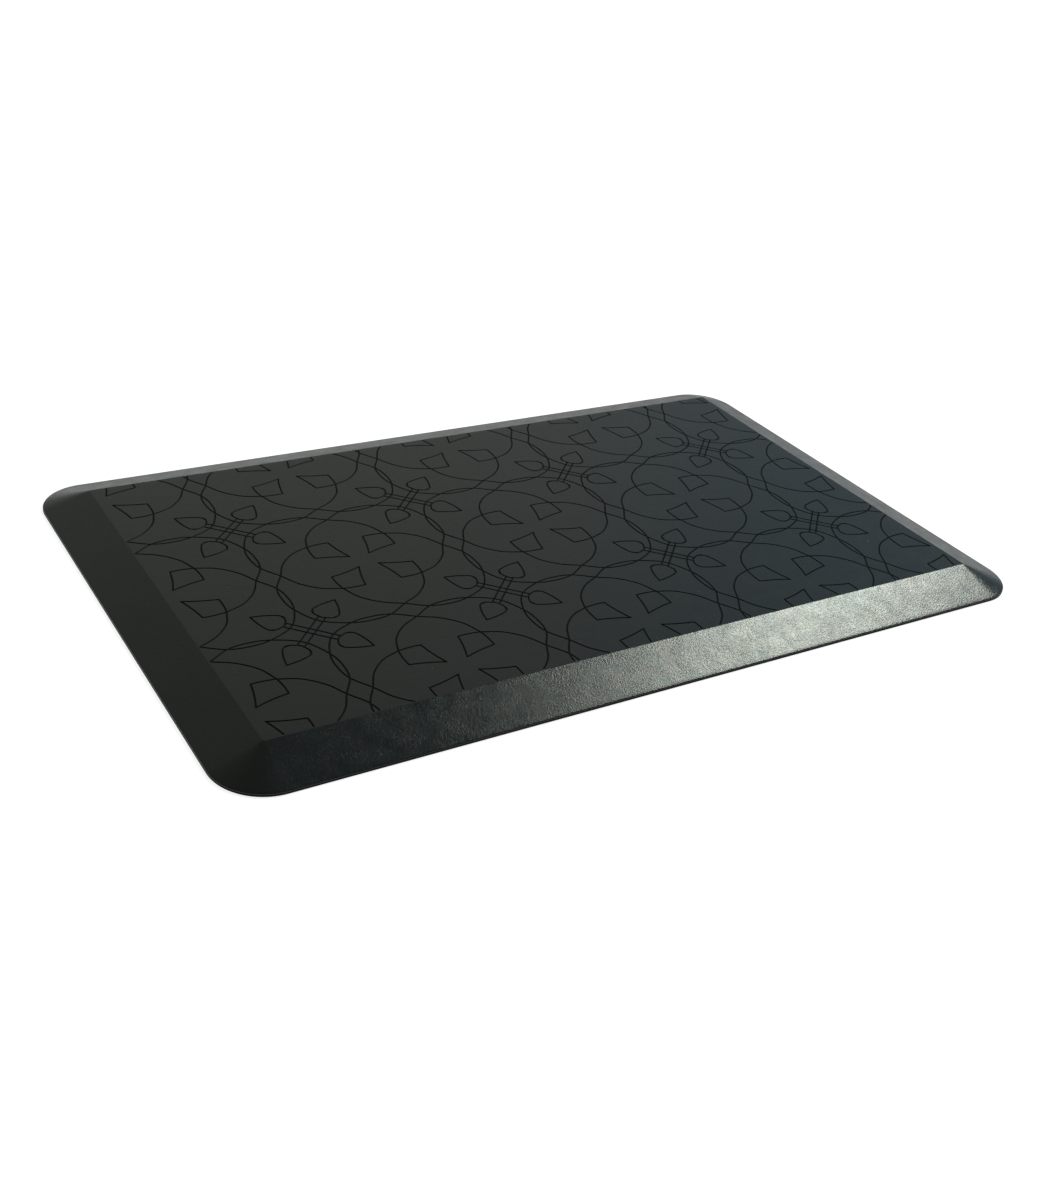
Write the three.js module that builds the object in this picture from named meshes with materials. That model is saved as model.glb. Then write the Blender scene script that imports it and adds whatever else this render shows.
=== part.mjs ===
// Bevelled anti-fatigue mat: a moulded skin, a foam core and a non-slip base sheet.
// Millimetres. +X runs along the long side, +Y along the short side, +Z up.
// The origin is under the middle of the mat, at floor level.
import * as THREE from 'three';

// Outline
const LENGTH = 813;
const WIDTH = 508;
const OUTER_CORNER_R = 45;

// Cross-section
const HEIGHT = 18;
const LIP_HEIGHT = 3;
const BEVEL_WIDTH = 43;
const TOP_CORNER_R = 1.5;
const LIP_ROUND = 0.8;

// Layers
const BASE_THICKNESS = 2.5;
const BASE_EDGE_CHAMFER = 0.5;
const SKIN_THICKNESS = 1.5;
const LAYER_GAP = 0.3;

// Steps along each rounded corner
const CORNER_STEPS = 16;

const BEVEL_RISE = (HEIGHT - LIP_HEIGHT) / BEVEL_WIDTH;
const BEVEL_STRETCH = Math.hypot(1, BEVEL_RISE);

const material = (color, roughness) =>
  new THREE.MeshStandardMaterial({ color, roughness, metalness: 0, flatShading: true });

// The corner radius shrinks from the outline to the crease around the flat top,
// so each corner of the bevel is a fan that opens from the top's sharp corner.
function cornerRadius(inset) {
  const radius = OUTER_CORNER_R + (TOP_CORNER_R - OUTER_CORNER_R) * (inset / BEVEL_WIDTH);
  return Math.max(radius, TOP_CORNER_R);
}

// One closed outline, anticlockwise from above, at a height and a distance in from the edge.
function ring(inset, z) {
  const r = cornerRadius(inset);
  const x = LENGTH / 2 - inset - r;
  const y = WIDTH / 2 - inset - r;
  const centres = [[x, y], [-x, y], [-x, -y], [x, -y]];
  return centres.flatMap(([cx, cy], quarter) =>
    Array.from({ length: CORNER_STEPS + 1 }, (_, step) => {
      const turn = (quarter + step / CORNER_STEPS) * (Math.PI / 2);
      return new THREE.Vector3(cx + r * Math.cos(turn), cy + r * Math.sin(turn), z);
    }));
}

// The closed body that passes through the rings in order, with a flat cap on the first and last.
// Rings that go up make an outer wall; rings that go down make the wall of a hollow.
function bodyThrough(rings) {
  const count = rings[0].length;
  const positions = rings.flat().flatMap((p) => [p.x, p.y, p.z]);
  const indices = [];
  for (let level = 0; level + 1 < rings.length; level += 1) {
    for (let i = 0; i < count; i += 1) {
      const here = level * count + i;
      const next = level * count + ((i + 1) % count);
      indices.push(here, next, next + count);
      indices.push(here, next + count, here + count);
    }
  }
  const last = (rings.length - 1) * count;
  for (let i = 1; i + 1 < count; i += 1) {
    indices.push(0, i + 1, i);
    indices.push(last, last + i, last + i + 1);
  }
  const geometry = new THREE.BufferGeometry();
  geometry.setAttribute('position', new THREE.Float32BufferAttribute(positions, 3));
  geometry.setIndex(indices);
  return geometry;
}

// How far in from the edge a surface lies at height z, when it is the bevel moved inwards by depth.
function bevelInset(z, depth) {
  return (z - LIP_HEIGHT + depth * BEVEL_STRETCH) / BEVEL_RISE;
}

function baseSheet() {
  return bodyThrough([
    ring(BASE_EDGE_CHAMFER, 0),
    ring(0, BASE_EDGE_CHAMFER),
    ring(0, BASE_THICKNESS),
  ]);
}

function foamCore() {
  const depth = SKIN_THICKNESS + LAYER_GAP;
  const top = HEIGHT - depth;
  return bodyThrough([
    ring(bevelInset(BASE_THICKNESS, depth), BASE_THICKNESS),
    ring(bevelInset(top, depth), top),
  ]);
}

// The skin is a tray turned upside down: it wraps the core and meets the base along its rim.
function topSkin() {
  const ceiling = HEIGHT - SKIN_THICKNESS;
  return bodyThrough([
    ring(bevelInset(ceiling, SKIN_THICKNESS), ceiling),
    ring(bevelInset(BASE_THICKNESS, SKIN_THICKNESS), BASE_THICKNESS),
    ring(0, BASE_THICKNESS),
    ring(LIP_ROUND, LIP_HEIGHT + LIP_ROUND * BEVEL_RISE),
    ring(BEVEL_WIDTH, HEIGHT),
  ]);
}

function named(name, geometry, look) {
  const mesh = new THREE.Mesh(geometry, look);
  mesh.name = name;
  return mesh;
}

const mat = new THREE.Group();
mat.add(
  named('top_skin', topSkin(), material(0x2c3132, 0.55)),
  named('foam_core', foamCore(), material(0x5a5c5a, 0.95)),
  named('base_sheet', baseSheet(), material(0x141516, 0.8)),
);

export default mat;
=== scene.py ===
"""The looks of a bevelled anti-fatigue mat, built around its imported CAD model.

Shapes are worked out in millimetres and turned into metres as each mesh is made.
+X runs along the mat's long side, +Y away from the camera's side, +Z up.
"""
import math

import bpy
import numpy as np
from mathutils import Matrix, Vector, noise
from mathutils.geometry import delaunay_2d_cdt
from mathutils.kdtree import KDTree


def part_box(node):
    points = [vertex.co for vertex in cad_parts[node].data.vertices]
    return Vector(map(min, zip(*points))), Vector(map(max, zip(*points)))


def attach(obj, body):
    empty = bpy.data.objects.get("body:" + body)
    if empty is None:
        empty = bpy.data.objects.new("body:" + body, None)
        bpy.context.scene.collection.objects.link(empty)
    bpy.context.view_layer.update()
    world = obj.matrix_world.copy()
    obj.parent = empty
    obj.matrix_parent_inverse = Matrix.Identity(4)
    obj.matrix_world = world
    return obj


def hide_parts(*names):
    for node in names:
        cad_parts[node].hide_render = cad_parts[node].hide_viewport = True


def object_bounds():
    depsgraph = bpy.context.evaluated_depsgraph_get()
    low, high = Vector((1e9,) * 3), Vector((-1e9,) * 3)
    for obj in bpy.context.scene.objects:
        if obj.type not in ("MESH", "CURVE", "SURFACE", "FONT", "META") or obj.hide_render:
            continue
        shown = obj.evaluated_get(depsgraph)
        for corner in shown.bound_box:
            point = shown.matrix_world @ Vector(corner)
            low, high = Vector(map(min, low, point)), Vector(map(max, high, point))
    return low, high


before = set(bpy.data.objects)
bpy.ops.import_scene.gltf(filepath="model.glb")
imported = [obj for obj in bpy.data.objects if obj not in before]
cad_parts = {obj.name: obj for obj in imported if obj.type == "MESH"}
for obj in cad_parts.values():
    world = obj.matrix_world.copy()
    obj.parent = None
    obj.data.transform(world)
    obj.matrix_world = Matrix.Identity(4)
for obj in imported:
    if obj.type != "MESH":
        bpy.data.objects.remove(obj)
CAD_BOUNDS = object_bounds()

MM = 0.001

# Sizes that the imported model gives, in millimetres
LOW, HIGH = (np.array(corner) / MM for corner in CAD_BOUNDS)
LENGTH, WIDTH, HEIGHT = (float(side) for side in HIGH - LOW)
BASE_TOP = float(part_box("base_sheet")[1][2]) / MM
CORE_LOW, CORE_HIGH = (np.array(corner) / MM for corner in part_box("foam_core"))

# Cross-section, as in the CAD model
OUTER_CORNER_R = 45.0
LIP_HEIGHT = 3.0
BEVEL_WIDTH = 43.0
TOP_CORNER_R = 1.5
SKIN_THICKNESS = 1.5
BEVEL_RISE = (HEIGHT - LIP_HEIGHT) / BEVEL_WIDTH
BEVEL_STRETCH = math.hypot(1.0, BEVEL_RISE)

# Fine rounding of the moulded skin, its gap above the base, and the core's top edge
LIP_ROUND = 0.9
CREASE_ROUND = 2.2
SEAM_GAP = 0.12
CORE_ROUND = 6.0

# Unevenness of the moulded bevel
WAVE_HEIGHT = 0.06
WAVE_LENGTH = 38.0

# Steps along the outline
SIDE_STEP = 9.0
CORNER_STEPS = 22
BEVEL_STEP = 3.0

# Engraved pattern: one square repeat, its place on the mat, and the section of its groove
# as pairs of distance from the centre line and depth
PITCH = 182.5
PATTERN_AT = (2.6, 2.4)
PATTERN_MARGIN = 1.6
GROOVE_SECTION = ((0.15, 0.66), (0.85, 0.0))
CURVE_STEP = 3.4
DENSE_STEP = 0.2

# A face belongs to a groove if its middle lies this far below the flat top, and no further
# than this outside the pattern's limits
SUNK_FROM, SUNK_TO = 0.02, 1.0
PATTERN_SPILL = 1.0

# Underside: a rim round a sunk field. Its edges are rounded where the rim meets the field, inside
# and outside the rim, and at the sheet's top
RIM_WIDTH = 9.0
FIELD_DEPTH = 0.6
BASE_ROUNDS = (0.4, 0.4, 0.6, 0.25)

# Pips in the field, with tips level with the rim; the section is pairs of radius and height
PIP_PITCH = 14.0
PIP_CLEARANCE = 2.5
PIP_SECTION = ((2.6, 0.0), (1.9, 0.42), (0.9, 0.6))
PIP_SIDES = 9

# A face belongs to the underside if its normal's z is below this
DOWNWARD = -0.2

# Surfaces: linear colours, and roughness and shine from 0 to 1
SKIN_DARK = (0.0050, 0.0062, 0.0060)
SKIN_LIGHT = (0.0066, 0.0080, 0.0076)
SKIN_MOTTLE = (0.010, 0.012, 0.0115)
# Groove colour: darker than the flat top, painted shade in the recesses
GROOVE_PAINTED_SHADE = (0.0030, 0.0036, 0.0035)
GROOVE_SHINE = 0.12
DUST = (0.16, 0.17, 0.17)
SHEEN_WARM = (1.0, 0.97, 0.90)
SHEEN_COOL = (0.88, 0.97, 0.95)
# Base edge colours: black rubber, painted darker than the underside as contact shade along the
# lip
EDGE_PAINTED_SHADE_DARK = (0.003, 0.003, 0.0035)
EDGE_PAINTED_SHADE_LIGHT = (0.006, 0.006, 0.007)
EDGE_SHINE = 0.12
UNDERSIDE_DARK = (0.010, 0.011, 0.011)
UNDERSIDE_LIGHT = (0.022, 0.023, 0.024)
UNDERSIDE_SHINE = 0.4
# Foam colours: the pores' hollows are painted darker than the cell walls, as shade
FOAM_PORE_PAINTED_SHADE = (0.03, 0.032, 0.032)
FOAM_WALL = (0.14, 0.15, 0.145)
SKIN_ROUGHNESS = 0.22
SKIN_IOR = 1.5
GLANCING_ROUGHNESS = 0.2
FLOOR_COLOUR = (0.955, 0.935, 0.94)
FLOOR_GLOW = 0.8
FLOOR_ROUGHNESS = 0.9
FLOOR_SHINE = 0.1

# Camera, in metres and degrees, and in millimetres for the lens and the film
CAMERA_PLACE = (-0.6910, -0.9910, 0.6558)
CAMERA_AIM = (-0.06606, -0.08457, 0.0)
CAMERA_ROLL = -6.89
LENS = 42.81
SENSOR = 36.0
CLIP = (0.05, 60.0)

# Studio, in metres, watts and degrees: the air's tint turns from left to right and its
# brightness rises towards the back; the softbox stands at an azimuth from +X and an elevation
FLOOR_SIZE = 60.0
AIR_LEFT = (0.95, 1.0, 0.94)
AIR_RIGHT = (0.68, 0.92, 1.08)
RIGHTWARD = (1.0, -0.6, 0.0)
AIR_DIM, AIR_BRIGHT = 0.09, 0.385
BACKWARD = (0.5, 0.86, 0.0)
HORIZON = (0.62, 0.65, 0.66)
UPWARD = (0.0, 0.0, 1.0)
SOFTBOX_FROM = (12.5, 46.4)
SOFTBOX_DISTANCE = 6.0
SOFTBOX_SIZE = (1.15, 1.7)
SOFTBOX_POWER = 107
SOFTBOX_COLOUR = (0.95, 1.0, 0.92)


# ---------------------------------------------------------------- outline and rings


def corner_radius(inset):
    """The outline's corner radius at a distance in from the edge."""
    share = inset / BEVEL_WIDTH
    return max(OUTER_CORNER_R + (TOP_CORNER_R - OUTER_CORNER_R) * share, TOP_CORNER_R)


def side_steps(length):
    """How many runs a straight side is cut into."""
    return int(round(length / SIDE_STEP))


# The runs of each straight side: right, back, left and front
SIDES = (side_steps(WIDTH), side_steps(LENGTH), side_steps(WIDTH), side_steps(LENGTH))


def ring(inset, z):
    """A closed outline at height z, anticlockwise from above, with one count at every inset."""
    r = corner_radius(inset)
    x, y = LENGTH / 2 - inset - r, WIDTH / 2 - inset - r
    centres = ((x, y), (-x, y), (-x, -y), (x, -y))
    points = []
    for quarter, (cx, cy) in enumerate(centres):
        for step in range(CORNER_STEPS + 1):
            turn = (quarter + step / CORNER_STEPS) * math.pi / 2
            points.append((cx + r * math.cos(turn), cy + r * math.sin(turn), z))
        start = np.array(points[-1])
        nx, ny = centres[(quarter + 1) % 4]
        turn = (quarter + 1) * math.pi / 2
        end = np.array((nx + r * math.cos(turn), ny + r * math.sin(turn), z))
        count = SIDES[(quarter + 1) % 4]
        for step in range(1, count):
            points.append(tuple(start + (end - start) * step / count))
    return np.array(points)


def rounded(points, radii, steps=6):
    """A profile of straight runs with each inner corner turned into an arc of its radius."""
    points = [np.array(p, float) for p in points]
    path = [points[0]]
    for before, corner, after, r in zip(points, points[1:], points[2:], radii):
        u = (before - corner) / np.linalg.norm(before - corner)
        v = (after - corner) / np.linalg.norm(after - corner)
        half = math.acos(float(np.clip(u @ v, -1, 1))) / 2
        reach = r / math.tan(half)
        middle = (u + v) / np.linalg.norm(u + v)
        centre = corner + middle * r / math.sin(half)
        a, b = corner + u * reach - centre, corner + v * reach - centre
        angle = math.acos(float(np.clip(a @ b / r**2, -1, 1)))
        for step in range(steps + 1):
            t = step / steps
            swept = (math.sin((1 - t) * angle) * a + math.sin(t * angle) * b) / math.sin(angle)
            path.append(centre + swept)
    path.append(points[-1])
    return path


def subdivided(path, longest):
    """The same profile with no run longer than the given length."""
    out = [path[0]]
    for start, end in zip(path, path[1:]):
        count = max(1, math.ceil(np.linalg.norm(end - start) / longest))
        out += [start + (end - start) * step / count for step in range(1, count + 1)]
    return out


def bevel_inset(z, depth):
    """How far in the bevel lies at height z, when moved inwards by depth."""
    return (z - LIP_HEIGHT + depth * BEVEL_STRETCH) / BEVEL_RISE


def walls(count, levels, first=0):
    """The quads between rings that follow each other in one vertex list."""
    quads = []
    for level in range(levels - 1):
        here = first + level * count
        for i in range(count):
            j = (i + 1) % count
            quads.append((here + i, here + j, here + count + j, here + count + i))
    return quads


# ---------------------------------------------------------------- engraved pattern


def smooth_curve(knots):
    """A Catmull-Rom curve through its knots, in steps of about CURVE_STEP."""
    knots = [np.array(k, float) for k in knots]
    before, after = 2 * knots[0] - knots[1], 2 * knots[-1] - knots[-2]
    padded = [before] + knots + [after]
    points = [knots[0]]
    for p0, p1, p2, p3 in zip(padded, padded[1:], padded[2:], padded[3:]):
        count = max(2, math.ceil(np.linalg.norm(p2 - p1) / CURVE_STEP))
        for step in range(1, count + 1):
            t = step / count
            points.append(
                0.5 * (2 * p1 + (p2 - p0) * t + (2 * p0 - 5 * p1 + 4 * p2 - p3) * t**2
                       + (3 * p1 - p0 - 3 * p2 + p3) * t**3)
            )
    return np.array(points)


def bowed(start, end, bow):
    """An arc-like line between two points that bulges to its left by bow."""
    start, end = np.array(start, float), np.array(end, float)
    along = end - start
    left = np.array((-along[1], along[0])) / np.linalg.norm(along)
    count = max(2, math.ceil(np.linalg.norm(along) / CURVE_STEP))
    return np.array([
        start + along * step / count + left * bow * 4 * (step / count) * (1 - step / count)
        for step in range(count + 1)
    ])


def turned(line, quarter):
    """The line turned by a number of quarter turns about the origin."""
    c, s = ((1, 0), (0, 1), (-1, 0), (0, -1))[quarter]
    return line @ np.array(((c, s), (-s, c)))


def swapped(line):
    """The mirror image in the diagonal y = x."""
    return line[::-1, ::-1]


# Places in one repeat, in millimetres from the centre of its four-petal rosette, except for
# the leaf and the stem, which are measured from the crossing in the repeat's corner
HALF = PITCH / 2
PETAL_FOOT = 38.5
PETAL_SIDE = ((31.6, 55.8), (17.5, 70.6))
PETAL_TIP = 80.0
LENS_NEAR, LENS_FAR, LENS_BULGE = 18.5, 55.5, 2.7
ARCH_TOP = 12.5
KITE_TIP, KITE_CORNER = 9.5, (17.4, 39.6)
KITE_INNER_BOW, KITE_OUTER_BOW = -0.9, 0.7
LEAF_TIP, LEAF_BASE = 38.2, 16.5
LEAF_SIDE = ((26.0, 36.0), (14.6, 31.4), (12.6, 25.0))
STEM_END, STEM_HALF = 16.8, 2.2


def strand():
    """A long strand: petal edge, petal tip, lens, arch round the crossing, and back again."""
    half = [
        (PETAL_FOOT, PETAL_FOOT),
        *PETAL_SIDE,
        (0, PETAL_TIP),
        (-LENS_NEAR, HALF),
        (-(LENS_NEAR + LENS_FAR) / 2, HALF + LENS_BULGE),
        (-LENS_FAR, HALF),
        (ARCH_TOP - HALF, HALF - ARCH_TOP),
    ]
    back = [(-y, -x) for x, y in reversed(half[:-1])]
    return smooth_curve(half + back)


def kite():
    """A four-sided island between two petals, with its sides a little bowed."""
    inner = bowed((KITE_TIP, KITE_TIP), KITE_CORNER, KITE_INNER_BOW)
    outer = bowed(KITE_CORNER, (PETAL_FOOT, PETAL_FOOT), KITE_OUTER_BOW)
    return [inner, outer, swapped(inner), swapped(outer)]


def leaf():
    """A rounded leaf that points away from the crossing."""
    side = smooth_curve([(LEAF_TIP, LEAF_TIP), *LEAF_SIDE, (LEAF_BASE, LEAF_BASE)])
    return [side, swapped(side)]


def stem():
    """The two sides of a narrow band that joins opposite leaves through the crossing."""
    return [
        bowed((-STEM_END - side, side - STEM_END), (STEM_END - side, STEM_END + side), 0.0)
        for side in (-STEM_HALF, STEM_HALF)
    ]


def repeat_lines():
    """Every engraved line of one repeat, from the rosette's centre."""
    lines = []
    for quarter in range(4):
        lines.append(turned(strand(), quarter))
        lines += [turned(line, quarter) for line in kite()]
        lines += [turned(line, quarter) + HALF for line in leaf()]
    lines += [line + HALF for line in stem()]
    lines += [turned(line, 1) + HALF for line in stem()]
    return lines


def clipped(line, limits):
    """The stretches of a line inside a rectangle of half sizes limits, centred on the origin."""
    inside = np.all(np.abs(line) <= limits, axis=1)
    pieces, run = [], []
    for i, point in enumerate(line):
        if i and inside[i] != inside[i - 1]:
            start, way = line[i - 1], point - line[i - 1]
            shares = [
                (side * limit - start[k]) / way[k]
                for k, limit in enumerate(limits) for side in (-1, 1) if way[k]
            ]
            crossings = [s for s in shares if 0 <= s <= 1]
            share = min(crossings) if inside[i - 1] else max(crossings)
            run.append(start + way * share)
            if not inside[i]:
                pieces.append(np.array(run))
                run = []
        if inside[i]:
            run.append(point)
    if len(run) > 1:
        pieces.append(np.array(run))
    return [piece for piece in pieces if len(piece) > 1]


def groove_lines(limits):
    """The centre lines of all the grooves on the flat top."""
    columns = range(-3, 3)
    rows = range(-2, 2)
    lines = []
    for column in columns:
        for row in rows:
            shift = np.array((PATTERN_AT[0] + column * PITCH, PATTERN_AT[1] + row * PITCH))
            for line in repeat_lines():
                lines += clipped(line + shift, limits)
    return lines


def side_normals(line):
    """A unit vector to the left of the line at each of its points."""
    along = np.gradient(line, axis=0)
    along /= np.linalg.norm(along, axis=1)[:, None]
    return np.stack((-along[:, 1], along[:, 0]), axis=1)


def groove_outline(line, width):
    """A closed outline round a line at a distance, with round ends."""
    normal = side_normals(line)
    left, right = line + normal * width, line - normal * width
    caps = []
    for at, way in ((line[-1], normal[-1]), (line[0], -normal[0])):
        turn = [math.pi * step / 4 for step in (1, 2, 3)]
        caps.append(np.array([
            at + width * (way * math.cos(a) + np.array((way[1], -way[0])) * math.sin(a))
            for a in turn
        ]))
    return np.concatenate((left, caps[0], right[::-1], caps[1]))


def groove_depth(distance):
    """The depth of the groove's section at a distance from its centre line."""
    across = [0.0] + [width for width, _ in GROOVE_SECTION]
    down = [GROOVE_SECTION[0][1]] + [depth for _, depth in GROOVE_SECTION]
    return float(np.interp(distance, across, down))


def search_tree(points):
    """A tree that finds the nearest of a set of points in the plane."""
    tree = KDTree(len(points))
    for i, (x, y) in enumerate(points):
        tree.insert((x, y, 0.0), i)
    tree.balance()
    return tree


def dense_points(lines):
    """Points at most DENSE_STEP apart along all the lines."""
    dense = []
    for line in lines:
        for start, end in zip(line, line[1:]):
            steps = max(1, math.ceil(np.linalg.norm(end - start) / DENSE_STEP))
            dense += [start + (end - start) * step / steps for step in range(steps)]
        dense.append(line[-1])
    return dense


# ---------------------------------------------------------------- meshes


class Body:
    """A closed body in the making: its points in millimetres and its faces."""

    def __init__(self):
        self.points = []
        self.faces = []

    def add_rings(self, rings):
        """Adds rings in order, joined by walls, and gives each ring's first index."""
        first = len(self.points)
        count = len(rings[0])
        for one in rings:
            self.points += [tuple(p) for p in one]
        self.faces += walls(count, len(rings), first)
        return [first + level * count for level in range(len(rings))]

    def add_relief(self, first, count, outlines, height, up):
        """Closes the ring that starts at first with a face that follows the outlines' relief."""
        border = [Vector(p[:2]) for p in self.points[first:first + count]]
        points = list(border)
        edges = [(i, (i + 1) % count) for i in range(count)]
        for outline in outlines:
            start, size = len(points), len(outline)
            points += [Vector(p) for p in outline]
            edges += [(start + i, start + (i + 1) % size) for i in range(size)]
        flat, _, triangles, origins, _, _ = delaunay_2d_cdt(points, edges, [], 0, 1e-4)
        place = []
        for at, origin in zip(flat, origins):
            on_border = [i for i in origin if i < count]
            if on_border:
                place.append(first + on_border[0])
            else:
                place.append(len(self.points))
                self.points.append((at.x, at.y, height(at)))
        for corners in triangles:
            face = tuple(place[i] for i in corners)
            self.faces.append(face if up else face[::-1])

    def piece(self, name, material, sharp=50.0):
        """The body as an object, shaded smooth up to the angle sharp, in degrees."""
        mesh = bpy.data.meshes.new(name)
        mesh.from_pydata([tuple(c * MM for c in p) for p in self.points], [], self.faces)
        mesh.validate()
        mesh.shade_smooth()
        mesh.set_sharp_from_angle(angle=math.radians(sharp))
        mesh.materials.append(material)
        obj = bpy.data.objects.new(name, mesh)
        bpy.context.scene.collection.objects.link(obj)
        return obj


def outer_profile():
    """The skin's outer side, from its seam with the base to the edge of the flat top."""
    corners = (
        (0.0, BASE_TOP + SEAM_GAP),
        (0.0, LIP_HEIGHT),
        (BEVEL_WIDTH, HEIGHT),
        (BEVEL_WIDTH + 2 * CREASE_ROUND, HEIGHT),
    )
    path = rounded(corners, (LIP_ROUND, CREASE_ROUND))[:-1]
    return subdivided(path, BEVEL_STEP)


def wavy(points):
    """The slight unevenness of a moulded bevel, fading out at its two edges."""
    out = []
    for x, y, z in points:
        share = (z - LIP_HEIGHT) / (HEIGHT - LIP_HEIGHT)
        fade = max(0.0, 1 - (2 * share - 1) ** 4)
        swell = noise.noise(Vector((x, y, 0)) / WAVE_LENGTH)
        out.append((x, y, z + WAVE_HEIGHT * swell * fade))
    return out


def build_top_skin(material, groove):
    """The skin: a thin shell whose flat top carries the engraved pattern."""
    ceiling = HEIGHT - SKIN_THICKNESS
    seat = BASE_TOP + SEAM_GAP
    inner = [
        ring(bevel_inset(ceiling, SKIN_THICKNESS), ceiling),
        ring(bevel_inset(seat, SKIN_THICKNESS), seat),
    ]
    outer = [wavy(ring(inset, z)) for inset, z in outer_profile()]
    body = Body()
    starts = body.add_rings(inner + outer)
    count = len(inner[0])
    body.faces.append(tuple(reversed(range(starts[0], starts[0] + count))))

    border = BEVEL_WIDTH + PATTERN_MARGIN
    limits = (LENGTH / 2 - border, WIDTH / 2 - border)
    lines = groove_lines(limits)
    tree = search_tree(dense_points(lines))
    outlines = [groove_outline(line, width) for line in lines for width, _ in GROOVE_SECTION]

    def depth(x, y):
        return groove_depth(tree.find((x, y, 0.0))[2])

    body.add_relief(starts[-1], count, outlines, lambda at: HEIGHT - depth(at.x, at.y), up=True)
    piece = body.piece("top_skin_engraved", material, sharp=20.0)
    # Faces down in a groove take a second material, coloured darker as painted shade
    piece.data.materials.append(groove)
    for face in piece.data.polygons:
        x, y, z = face.center / MM
        on_top = abs(x) < limits[0] + PATTERN_SPILL and abs(y) < limits[1] + PATTERN_SPILL
        if on_top and HEIGHT - SUNK_TO < z < HEIGHT - SUNK_FROM:
            face.material_index = 1
    return piece


def build_foam_core(material):
    """The foam that fills the skin, with rounded top edges."""
    low, high = float(CORE_LOW[2]), float(CORE_HIGH[2])
    depth = HEIGHT - high
    lip, top = bevel_inset(low, depth), bevel_inset(high, depth)
    corners = ((lip, low), (top, high), (top + 2 * CORE_ROUND, high))
    path = subdivided(rounded(corners, (CORE_ROUND,))[:-1], BEVEL_STEP)
    body = Body()
    rings = [wavy(ring(inset, z)) for inset, z in path]
    starts = body.add_rings(rings)
    count = len(rings[0])
    body.faces.append(tuple(reversed(range(starts[0], starts[0] + count))))
    body.faces.append(tuple(range(starts[-1], starts[-1] + count)))
    return body.piece("foam_core_block", material)


def pip_places():
    """A staggered grid of pips inside the sunk field of the underside."""
    reach = PIP_SECTION[0][0] + PIP_CLEARANCE
    x_limit = LENGTH / 2 - RIM_WIDTH - reach
    y_limit = WIDTH / 2 - RIM_WIDTH - reach
    row_step = PIP_PITCH * math.sin(math.pi / 3)
    rows = int(y_limit / row_step)
    places = []
    for row in range(-rows, rows + 1):
        stagger = PIP_PITCH / 2 if row % 2 else 0.0
        columns = int((x_limit - stagger) / PIP_PITCH)
        for column in range(-columns - (1 if row % 2 else 0), columns + 1):
            x, y = column * PIP_PITCH + stagger, row * row_step
            corner = OUTER_CORNER_R - RIM_WIDTH
            over = np.array((abs(x), abs(y))) - np.array((x_limit, y_limit)) + corner
            if min(over) > 0 and np.linalg.norm(over) > corner:
                continue
            places.append((x, y))
    return places


def circle(centre, radius, sides):
    """A closed outline of a number of sides round a centre."""
    return np.array([
        (centre[0] + radius * math.cos(a), centre[1] + radius * math.sin(a))
        for a in (2 * math.pi * step / sides for step in range(sides))
    ])


def build_base_sheet(edge, underside):
    """The black sheet: from its sunk field down to the rim, round the edge and up to its top."""
    corners = (
        (2 * RIM_WIDTH, FIELD_DEPTH),
        (RIM_WIDTH + FIELD_DEPTH, FIELD_DEPTH),
        (RIM_WIDTH, 0.0),
        (0.0, 0.0),
        (0.0, BASE_TOP),
        (RIM_WIDTH, BASE_TOP),
    )
    path = rounded(corners, BASE_ROUNDS, steps=4)[1:]
    body = Body()
    rings = [ring(inset, z) for inset, z in path]
    starts = body.add_rings(rings)
    count = len(rings[0])
    body.faces.append(tuple(range(starts[-1], starts[-1] + count)))

    places = pip_places()
    tree = search_tree(places)
    outlines = [circle(p, width, PIP_SIDES) for p in places for width, _ in PIP_SECTION]
    across = [0.0] + [width for width, _ in reversed(PIP_SECTION)]
    rise = [PIP_SECTION[-1][1]] + [tall for _, tall in reversed(PIP_SECTION)]

    def height(at):
        distance = tree.find((at.x, at.y, 0.0))[2]
        return FIELD_DEPTH - float(np.interp(distance, across, rise))

    body.add_relief(starts[0], count, outlines, height, up=False)
    piece = body.piece("base_sheet_pipped", edge)
    piece.data.materials.append(underside)
    for face in piece.data.polygons:
        if face.normal.z < DOWNWARD:
            face.material_index = 1
    return piece


# ---------------------------------------------------------------- materials


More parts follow.
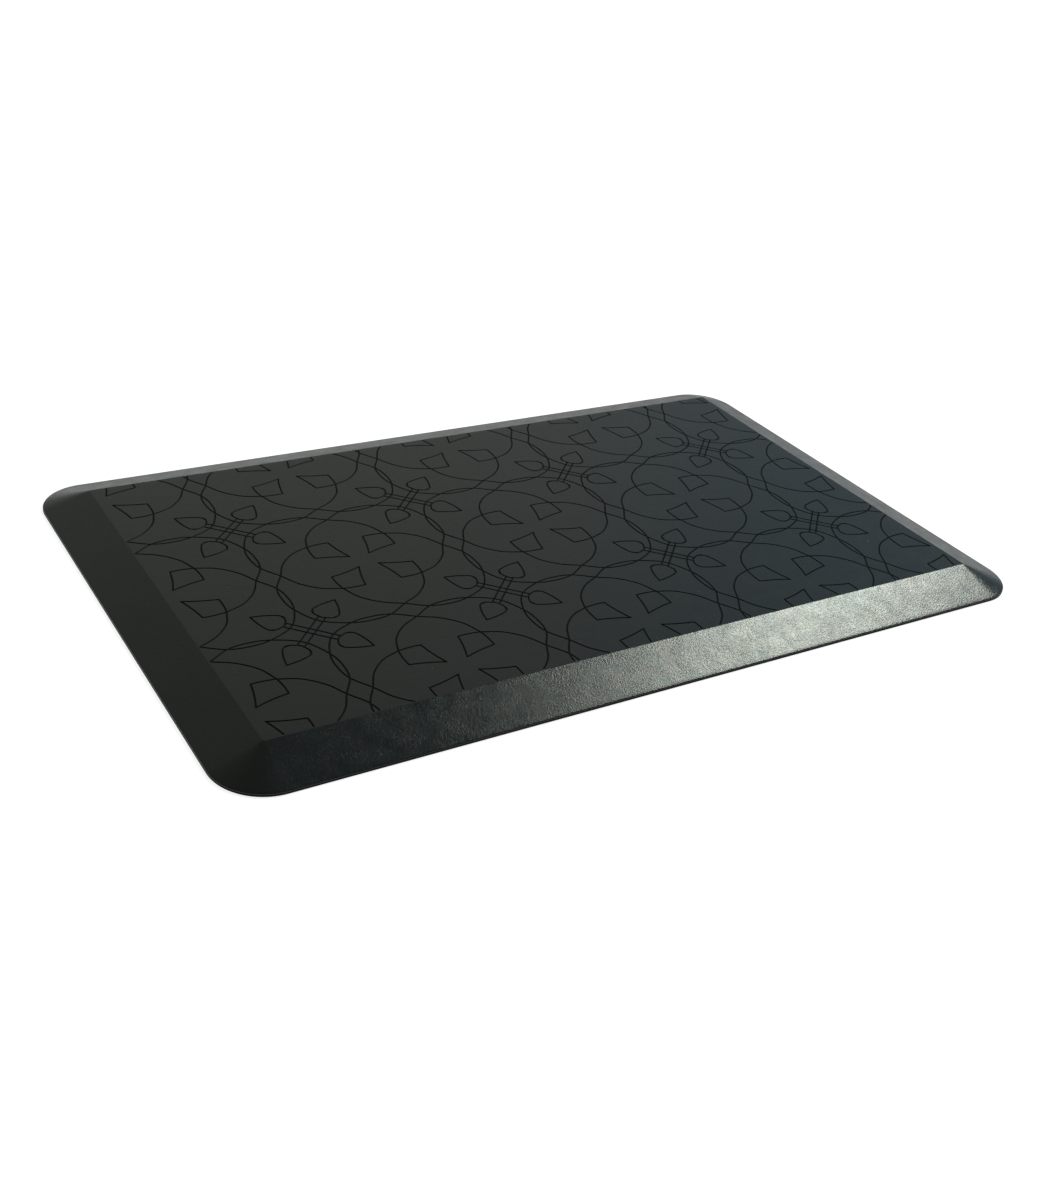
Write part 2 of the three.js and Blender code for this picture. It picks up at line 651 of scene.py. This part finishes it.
class Nodes:
    """A short way to add and link the nodes of one material."""

    def __init__(self, name):
        self.material = bpy.data.materials.new(name)
        self.material.use_nodes = True
        self.tree = self.material.node_tree
        self.tree.nodes.clear()
        self.shader = self.add("ShaderNodeBsdfPrincipled")
        output = self.add("ShaderNodeOutputMaterial")
        self.link(self.shader, "BSDF", output, "Surface")
        self.place = self.add("ShaderNodeTexCoord")

    def add(self, kind, **values):
        """A new node with the given settings, or values of its sockets."""
        node = self.tree.nodes.new(kind)
        for key, value in values.items():
            if hasattr(node, key):
                setattr(node, key, value)
            else:
                node.inputs[key.replace("_", " ")].default_value = value
        return node

    def link(self, source, output, target, socket):
        self.tree.links.new(source.outputs[output], target.inputs[socket])

    def colour(self, mix, socket="Base Color"):
        """Gives a mix's colour to one of the shader's colour sockets."""
        self.link(mix, 2, self.shader, socket)

    def fixed(self, **values):
        """Sets uniform values on the shader."""
        for key, value in values.items():
            self.shader.inputs[key.replace("_", " ")].default_value = value

    def noise(self, size_mm, detail=2.0, roughness=0.5, offset=0.0):
        """Noise whose features are about size_mm across."""
        node = self.add("ShaderNodeTexNoise")
        node.inputs["Scale"].default_value = 1 / (size_mm * MM)
        node.inputs["Detail"].default_value = detail
        node.inputs["Roughness"].default_value = roughness
        if offset:
            shift = self.add("ShaderNodeVectorMath", operation="ADD")
            shift.inputs[1].default_value = (offset, offset * 0.7, offset * 0.3)
            self.link(self.place, "Object", shift, 0)
            self.link(shift, "Vector", node, "Vector")
        else:
            self.link(self.place, "Object", node, "Vector")
        return node

    def cells(self, size_mm, feature="F1"):
        """Voronoi cells that are about size_mm across."""
        node = self.add("ShaderNodeTexVoronoi", feature=feature)
        node.inputs["Scale"].default_value = 1 / (size_mm * MM)
        self.link(self.place, "Object", node, "Vector")
        return node

    def levels(self, source, output, low, high, to_low=0.0, to_high=1.0):
        """Stretches a value from the range low to high onto the range to_low to to_high."""
        node = self.add("ShaderNodeMapRange")
        node.inputs["From Min"].default_value = low
        node.inputs["From Max"].default_value = high
        node.inputs["To Min"].default_value = to_low
        node.inputs["To Max"].default_value = to_high
        self.link(source, output, node, "Value")
        return node

    def blend(self, share, share_output, first, second):
        """Mixes two colours, or a colour source and a colour, by a share."""
        node = self.add("ShaderNodeMix", data_type="RGBA")
        self.link(share, share_output, node, 0)
        for socket, colour in ((6, first), (7, second)):
            if isinstance(colour, tuple):
                node.inputs[socket].default_value = (*colour, 1.0)
            else:
                self.link(colour, 2, node, socket)
        return node

    def bump(self, source, output, depth_mm, under=None):
        """Fine relief up to depth_mm high, on top of another bump."""
        node = self.add("ShaderNodeBump")
        node.inputs["Strength"].default_value = 1.0
        node.inputs["Distance"].default_value = depth_mm * MM
        self.link(source, output, node, "Height")
        if under is not None:
            self.link(under, "Normal", node, "Normal")
        return node


def skin_material():
    """Moulded polyurethane skin: charcoal, satin, with a fine grain, pits and a little dust."""
    n = Nodes("skin_polyurethane")
    clouds = n.noise(70, detail=3)
    mottle = n.noise(5, detail=3, roughness=0.6)
    base = n.blend(n.levels(clouds, "Fac", 0.35, 0.65), "Result", SKIN_DARK, SKIN_LIGHT)
    base = n.blend(n.levels(mottle, "Fac", 0.35, 0.75, 0.0, 0.35), "Result", base, SKIN_MOTTLE)
    specks = n.cells(26)
    dust = n.levels(specks, "Distance", 0.022, 0.014)
    n.colour(n.blend(dust, "Result", base, DUST))

    scuffs = n.noise(16, detail=3, roughness=0.6, offset=3.0)
    flecks = n.noise(1.9, detail=2, roughness=0.6, offset=5.0)
    smooth, worn = SKIN_ROUGHNESS - 0.04, SKIN_ROUGHNESS + 0.05
    gloss = n.add("ShaderNodeMath", operation="ADD")
    n.link(n.levels(scuffs, "Fac", 0.3, 0.7, smooth, worn), "Result", gloss, 0)
    n.link(n.levels(flecks, "Fac", 0.3, 0.7, -0.055, 0.055), "Result", gloss, 1)
    glance = n.add("ShaderNodeLayerWeight", Blend=0.5)
    dull = n.levels(glance, "Facing", 0.66, 0.86, 0.0, GLANCING_ROUGHNESS)
    rough = n.add("ShaderNodeMath", operation="ADD")
    n.link(gloss, "Value", rough, 0)
    n.link(dull, "Result", rough, 1)
    n.link(rough, "Value", n.shader, "Roughness")

    tint = n.levels(n.noise(11, detail=4, roughness=0.65, offset=8.0), "Fac", 0.35, 0.65)
    n.colour(n.blend(tint, "Result", SHEEN_WARM, SHEEN_COOL), "Specular Tint")

    ripple = n.bump(n.noise(14, detail=2), "Fac", 0.07)
    pits = n.bump(n.levels(n.cells(20), "Distance", 0.02, 0.05), "Result", 0.12, ripple)
    pebble = n.bump(n.noise(1.3, detail=1), "Fac", 0.1, pits)
    grain = n.bump(n.cells(0.9, "SMOOTH_F1"), "Distance", 0.06, pebble)
    fine = n.bump(n.noise(0.5, detail=3), "Fac", 0.02, grain)
    n.link(fine, "Normal", n.shader, "Normal")
    n.fixed(IOR=SKIN_IOR)
    return n.material


def groove_material():
    """The same skin down in the grooves, dull where it is never polished, and coloured darker as
    painted shade in the recess.
    """
    n = Nodes("skin_groove_painted_shade")
    clouds = n.noise(12, detail=3)
    # Painted shade: the grooves' colour runs darker than the flat top's
    n.colour(n.blend(n.levels(clouds, "Fac", 0.35, 0.65), "Result", GROOVE_PAINTED_SHADE, SKIN_DARK))
    n.link(n.levels(clouds, "Fac", 0.3, 0.7, 0.45, 0.57), "Result", n.shader, "Roughness")
    n.link(n.bump(n.noise(0.6, detail=3), "Fac", 0.03), "Normal", n.shader, "Normal")
    n.fixed(Specular_IOR_Level=GROOVE_SHINE)
    return n.material


def foam_material():
    """Polyurethane foam: matt, grey, with open cells of under a millimetre."""
    n = Nodes("core_foam")
    pores = n.cells(0.8)
    # Painted shade: the pores' hollows are coloured darker than the cell walls
    n.colour(n.blend(n.levels(pores, "Distance", 0.1, 0.6), "Result", FOAM_PORE_PAINTED_SHADE, FOAM_WALL))
    n.link(n.levels(n.noise(9), "Fac", 0.3, 0.7, 0.88, 0.98), "Result", n.shader, "Roughness")
    n.link(n.bump(pores, "Distance", 0.3), "Normal", n.shader, "Normal")
    return n.material


def rubber_material(name, dark, light, shine):
    """Black rubber: matt, with a faint cloudiness and a very fine grain."""
    n = Nodes(name)
    clouds = n.noise(14, detail=4)
    n.colour(n.blend(n.levels(clouds, "Fac", 0.3, 0.7), "Result", dark, light))
    n.link(n.levels(clouds, "Fac", 0.3, 0.7, 0.62, 0.8), "Result", n.shader, "Roughness")
    n.link(n.bump(n.noise(0.6, detail=3), "Fac", 0.04), "Normal", n.shader, "Normal")
    n.fixed(Specular_IOR_Level=shine)
    return n.material


def floor_material():
    """A plain pale floor that glows a little, as a backlit studio sheet does."""
    n = Nodes("studio_floor")
    n.fixed(
        Base_Color=(*FLOOR_COLOUR, 1.0),
        Emission_Color=(1.0, 1.0, 1.0, 1.0),
        Emission_Strength=FLOOR_GLOW,
        Roughness=FLOOR_ROUGHNESS,
        Specular_IOR_Level=FLOOR_SHINE,
    )
    return n.material


# ---------------------------------------------------------------- stage, light and camera


def plane(name, size, material):
    """A level square at height zero."""
    half = size / 2
    mesh = bpy.data.meshes.new(name)
    corners = [(-half, -half, 0), (half, -half, 0), (half, half, 0), (-half, half, 0)]
    mesh.from_pydata(corners, [], [(0, 1, 2, 3)])
    mesh.materials.append(material)
    obj = bpy.data.objects.new(name, mesh)
    bpy.context.scene.collection.objects.link(obj)
    return obj


def softbox():
    """The one large soft light, which faces the middle of the mat."""
    a, e = (math.radians(angle) for angle in SOFTBOX_FROM)
    way = Vector((math.cos(e) * math.cos(a), math.cos(e) * math.sin(a), math.sin(e)))
    data = bpy.data.lights.new("softbox", "AREA")
    data.energy = SOFTBOX_POWER
    data.color = SOFTBOX_COLOUR
    data.shape = "RECTANGLE"
    data.size, data.size_y = SOFTBOX_SIZE
    obj = bpy.data.objects.new("softbox", data)
    obj.location = way * SOFTBOX_DISTANCE
    obj.rotation_euler = way.to_track_quat("Z", "Y").to_euler()
    bpy.context.scene.collection.objects.link(obj)


def studio_air():
    """Dim light from all round: brighter behind the mat, bluer on its right, pale low down."""
    world = bpy.data.worlds.new("studio_air")
    world.use_nodes = True
    tree = world.node_tree
    air = tree.nodes["Background"]
    way = tree.nodes.new("ShaderNodeTexCoord").outputs["Generated"]

    def ramp(direction, low, high, to_low, to_high):
        """A value that runs with how far a ray of light points in a direction."""
        along = tree.nodes.new("ShaderNodeVectorMath")
        along.operation = "DOT_PRODUCT"
        along.inputs[1].default_value = direction
        tree.links.new(way, along.inputs[0])
        spread = tree.nodes.new("ShaderNodeMapRange")
        limits = {"From Min": low, "From Max": high, "To Min": to_low, "To Max": to_high}
        for name, value in limits.items():
            spread.inputs[name].default_value = value
        tree.links.new(along.outputs["Value"], spread.inputs["Value"])
        return spread.outputs["Result"]

    def mix(share, second):
        """A mix, by a share, of a first colour that is still to be given and a second one."""
        node = tree.nodes.new("ShaderNodeMix")
        node.data_type = "RGBA"
        node.inputs[7].default_value = (*second, 1.0)
        tree.links.new(share, node.inputs[0])
        return node

    tint = mix(ramp(RIGHTWARD, 0.05, 0.3, 0.0, 1.0), AIR_RIGHT)
    tint.inputs[6].default_value = (*AIR_LEFT, 1.0)
    shade = tree.nodes.new("ShaderNodeVectorMath")
    shade.operation = "SCALE"
    tree.links.new(tint.outputs[2], shade.inputs[0])
    tree.links.new(ramp(BACKWARD, -0.1, 0.87, AIR_DIM, AIR_BRIGHT), shade.inputs["Scale"])
    haze = mix(ramp(UPWARD, 0.05, 0.2, 1.0, 0.0), HORIZON)
    tree.links.new(shade.outputs["Vector"], haze.inputs[6])
    tree.links.new(haze.outputs[2], air.inputs["Color"])
    return world


def studio():
    """The floor, the light and the air, shown with plain colours."""
    floor = plane("studio_floor", FLOOR_SIZE, floor_material())
    softbox()
    scene = bpy.context.scene
    scene.world = studio_air()
    scene.view_settings.view_transform = "Standard"
    scene.view_settings.look = "None"


def camera():
    """The camera of the photograph, rolled a little about its own line of sight."""
    data = bpy.data.cameras.new("camera")
    data.sensor_width = SENSOR
    data.lens = LENS
    data.clip_start, data.clip_end = CLIP
    obj = bpy.data.objects.new("camera", data)
    place, aim = Vector(CAMERA_PLACE), Vector(CAMERA_AIM)
    ahead = (aim - place).normalized()
    turn = ahead.to_track_quat("-Z", "Y").to_matrix()
    roll = Matrix.Rotation(math.radians(CAMERA_ROLL), 3, ahead)
    obj.matrix_world = Matrix.Translation(place) @ (roll @ turn).to_4x4()
    bpy.context.scene.collection.objects.link(obj)
    bpy.context.scene.camera = obj


# ---------------------------------------------------------------- the scene

camera()
studio()

SKIN = build_top_skin(skin_material(), groove_material())
CORE = build_foam_core(foam_material())
BASE = build_base_sheet(
    # The edge's colours are darker than the underside's: painted contact shade along the lip
    rubber_material("base_edge_painted_shade", EDGE_PAINTED_SHADE_DARK, EDGE_PAINTED_SHADE_LIGHT, EDGE_SHINE),
    rubber_material("base_underside", UNDERSIDE_DARK, UNDERSIDE_LIGHT, UNDERSIDE_SHINE),
)

for piece, node, slot in (
    (SKIN, "top_skin", "skin"),
    (CORE, "foam_core", "foam"),
    (BASE, "base_sheet", "base"),
):
    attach(piece, "root")
    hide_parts(node)
